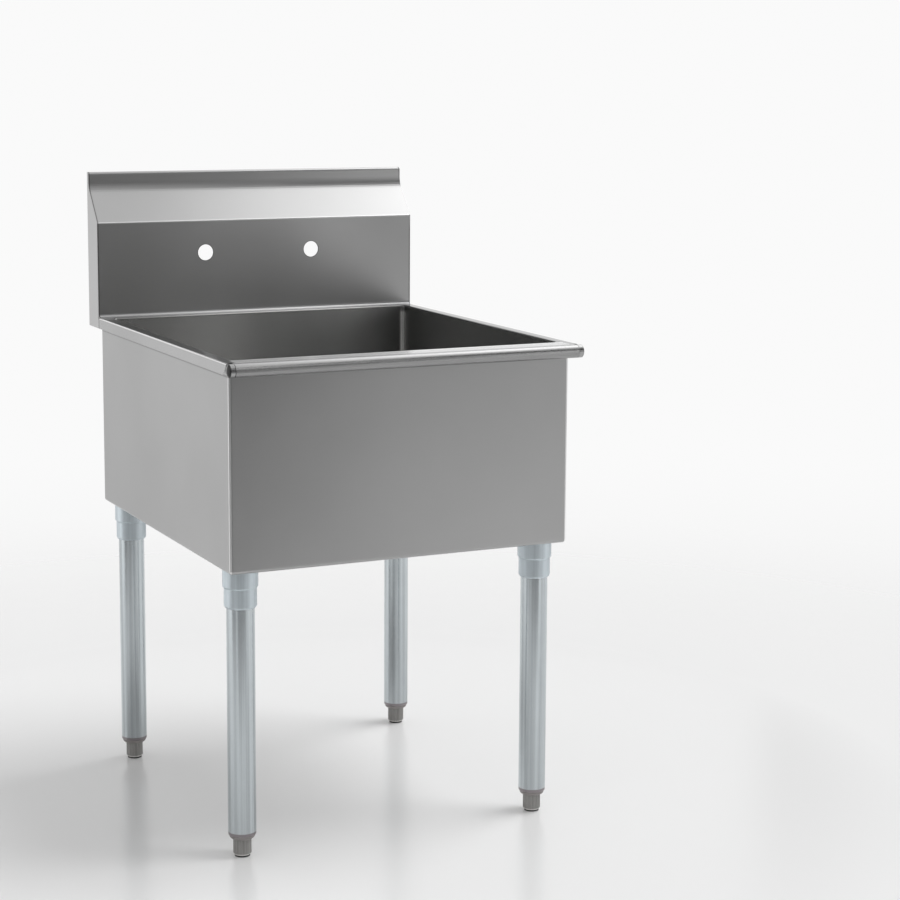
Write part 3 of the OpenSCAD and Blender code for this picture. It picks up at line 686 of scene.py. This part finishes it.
def screw_thread(tree, name, foot, radius, length, pitch, ridge, finish):
    """One thread as a plain mesh, wound up from a foot point."""
    worker = bpy.data.objects.new(name + "_worker", bpy.data.meshes.new(name + "_seed"))
    bpy.context.scene.collection.objects.link(worker)
    modifier = worker.modifiers.new("thread", "NODES")
    modifier.node_group = tree
    sizes = {"Rod Radius": radius, "Length": length, "Pitch": pitch, "Ridge Height": ridge,
             "Foot": foot, "Finish": finish}
    for item in tree.interface.items_tree:
        if item.in_out == "INPUT" and item.name in sizes:
            modifier[item.identifier] = sizes[item.name]
    seen = worker.evaluated_get(bpy.context.evaluated_depsgraph_get())
    mesh = bpy.data.meshes.new_from_object(seen)
    bpy.data.objects.remove(worker)
    piece = bpy.data.objects.new(name, mesh)
    bpy.context.scene.collection.objects.link(piece)
    return piece


def thread_feet(tree):
    """Threads on the feet's stems."""
    plastic = bpy.data.materials["foot_plastic"]
    for corner in CORNERS:
        low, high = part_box("foot_" + corner)
        middle = (low + high) / 2
        foot = (middle.x, middle.y, high.z - STEM_LENGTH + BARE_END)
        thread = screw_thread(tree, "screw_thread_" + corner, foot, STEM_R - RIDGE_SINK,
                              STEM_LENGTH - 2 * BARE_END, STEM_PITCH, STEM_RIDGE, plastic)
        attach(thread, "foot_" + corner)


def thread_drain(tree):
    """Threads on the drain's cup, up to its locknut, and on its outlet."""
    polished = bpy.data.materials["drain_polished"]
    body_lo, body_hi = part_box("drain_body")
    middle = (body_lo + body_hi) / 2
    cup_foot = (middle.x, middle.y, body_lo.z + CUP_THREAD_RISE)
    cup_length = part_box("drain_locknut")[0].z - cup_foot[2] - NUT_GAP
    outlet_foot = (middle.x, middle.y, body_lo.z + BARE_END)
    outlet_r = mount("drain_outlet")["dims"]["r_mm"] / MM_PER_M
    for name, foot, radius, length in (
        ("drain_cup_thread", cup_foot, CUP_R, cup_length),
        ("drain_outlet_thread", outlet_foot, outlet_r - RIDGE_SINK, OUTLET_THREAD_LENGTH),
    ):
        thread = screw_thread(tree, name, foot, radius, length, DRAIN_PITCH, DRAIN_RIDGE,
                              polished)
        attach(thread, "sink")


def make_world():
    """Pale backdrop: near white high up and a little greyer towards the floor."""
    world = bpy.data.worlds.new("studio")
    bpy.context.scene.world = world
    world.use_nodes = True
    n = Nodes(world.node_tree)
    direction = n.add("ShaderNodeTexCoord").outputs["Generated"]
    height = n.add("ShaderNodeSeparateXYZ", {0: direction}).outputs[2]
    pale = n.ramp(height, *BACKDROP_TURN, BACKDROP_LOW, BACKDROP_HIGH, kind="SMOOTHSTEP")
    path = n.add("ShaderNodeLightPath")
    seen = n.math("MAXIMUM", path.outputs["Is Camera Ray"], path.outputs["Is Glossy Ray"])
    seen = n.math("MAXIMUM", seen, path.outputs["Is Transmission Ray"])
    strength = n.mix(seen, BACKDROP_LIGHT, pale)
    back = n.add("ShaderNodeBackground", {"Color": (1, 1, 1, 1), "Strength": strength})
    n.add("ShaderNodeOutputWorld", {"Surface": back.outputs[0]})


def make_floor():
    """Round pale floor that fades out, so that it has no edge against the backdrop, and
    is clear from below, so that the sink's underside can be seen."""
    turn = 2 * math.pi / FLOOR_SIDES
    ring = [(FLOOR_R * math.cos(turn * i), FLOOR_R * math.sin(turn * i), 0)
            for i in range(FLOOR_SIDES)]
    mesh = bpy.data.meshes.new("floor")
    mesh.from_pydata(ring, [], [list(range(FLOOR_SIDES))])
    floor = bpy.data.objects.new("floor", mesh)
    bpy.context.scene.collection.objects.link(floor)
    material, n = new_material("floor_pale")
    place = n.add("ShaderNodeTexCoord").outputs["Object"]
    distance = n.add("ShaderNodeVectorMath", {0: place}, operation="LENGTH").outputs["Value"]
    fade = n.ramp(distance, *FLOOR_FADE, kind="SMOOTHSTEP")
    sheen = n.ramp(distance, *SHEEN_FADE, FLOOR_SHEEN, 0.0, kind="SMOOTHSTEP")
    ground = n.add("ShaderNodeBsdfPrincipled", {
        "Base Color": FLOOR_GREY, "Roughness": FLOOR_ROUGH, "Specular IOR Level": sheen,
    })
    clear = n.add("ShaderNodeBsdfTransparent")
    below = n.add("ShaderNodeNewGeometry").outputs["Backfacing"]
    shader = n.add("ShaderNodeMixShader", {
        0: n.math("MAXIMUM", fade, below), 1: ground.outputs[0], 2: clear.outputs[0],
    })
    n.add("ShaderNodeOutputMaterial", {"Surface": shader.outputs[0]})
    mesh.materials.append(material)


def make_key_lamp():
    """Wide soft lamp that lights without showing in the metal; the cards do that."""
    data = bpy.data.lights.new("key", "SUN")
    data.energy = KEY_STRENGTH
    data.angle = KEY_WIDTH
    lamp = bpy.data.objects.new("key", data)
    lamp.rotation_euler = Vector(KEY_AIM).to_track_quat("-Z", "Y").to_euler()
    lamp.visible_glossy = False
    bpy.context.scene.collection.objects.link(lamp)


def card(name, corners, glow, between=(0, 1), rise=(0, 1), rise_factor=1.0):
    """Flat studio card that only shows in the metal. Its brightness goes from one glow to
    another between two places along X, and changes by a factor over a rise."""
    mesh = bpy.data.meshes.new(name)
    mesh.from_pydata(corners, [], [(0, 1, 2, 3)])
    sheet = bpy.data.objects.new(name, mesh)
    bpy.context.scene.collection.objects.link(sheet)
    sheet.visible_camera = False
    sheet.visible_diffuse = False
    sheet.visible_shadow = False
    material, n = new_material(name + "_glow")
    place, x, y, z = n.place()
    strength = n.times(n.ramp(x, *between, *glow), n.ramp(z, *rise, 1.0, rise_factor))
    shader = n.add("ShaderNodeEmission", {"Strength": strength})
    n.add("ShaderNodeOutputMaterial", {"Surface": shader.outputs[0]})
    mesh.materials.append(material)


def upright_card(name, start, end, heights, **looks):
    """Upright card between two places, which may reach below the floor where that fades."""
    low, high = heights
    card(name, [(*start, low), (*end, low), (*end, high), (*start, high)], **looks)


def make_front_cards():
    """Cards in front, one above the other: the lower three brighten towards the right, and
    the top one darkens."""
    left, middle, right = (LEFT_X, FRONT_Y), (FRONT_BREAK_X, FRONT_Y), (FRONT_RIGHT_X, FRONT_Y)
    upright_card("front_low", left, middle, heights=(-1.2, LOW_TOP), glow=(0.22, 0.96),
                 between=(0.88, 1.5))
    upright_card("front_eye", left, middle, heights=(LOW_TOP, EYE_TOP), glow=(0.22, 0.5),
                 between=(0.8, 1.35))
    upright_card("front_right", middle, right, heights=(LOW_TOP, MID_TOP), glow=(0.2, 0.2))
    upright_card("front_mid", left, middle, heights=(EYE_TOP, MID_TOP), glow=(0.15, 0.66),
                 between=(1.55, 2.2))
    upright_card("front_top", left, right, heights=(MID_TOP, HIGH_TOP), glow=(0.5, 0.0),
                 between=(1.45, 2.15))


def make_side_cards():
    """Cards at the left, behind and at the right, and one overhead."""
    left_break = (LEFT_X, LEFT_BREAK_Y)
    upright_card("left_card", left_break, (LEFT_X, FRONT_Y), heights=(-0.5, 3.4),
                 glow=(0.1, 0.1))
    upright_card("left_glow", left_break, (LEFT_X, LEFT_END_Y), heights=(-0.5, MID_TOP),
                 glow=(1.15, 1.15))
    back_left = (LEFT_X, BACK_Y)
    upright_card("back_card", (BACK_BREAK_X, BACK_Y), back_left, heights=(-0.9, MID_TOP),
                 glow=(0.77, 0.6), between=(-1.9, -1.4), rise=(-0.7, 0.3), rise_factor=1.26)
    upright_card("back_top", (BACK_RIGHT_X, BACK_Y), back_left, heights=(MID_TOP, HIGH_TOP),
                 glow=(0.15, 0.15))
    upright_card("right_flag", FLAG_FRONT, FLAG_BACK, heights=(0, 1.6), glow=(0.15, 0.15))
    (west, east), (south, north) = TOP_CARD_X, TOP_CARD_Y
    card("top_card", [(west, south, TOP_CARD_Z), (east, south, TOP_CARD_Z),
                      (east, north, TOP_CARD_Z), (west, north, TOP_CARD_Z)],
         glow=(0.68, 2.5), between=(0.2, 1.1))


make_camera()

paint_splash()
paint_front_rim()
paint_skirt()
paint_side_rims()
paint_roll_caps()
paint_bowl()
paint_legs()
paint_feet()
paint_drain()

winding = thread_tree()
thread_feet(winding)
thread_drain(winding)

make_world()
make_floor()
make_key_lamp()
make_front_cards()
make_side_cards()
bpy.context.scene.view_settings.view_transform = "Standard"
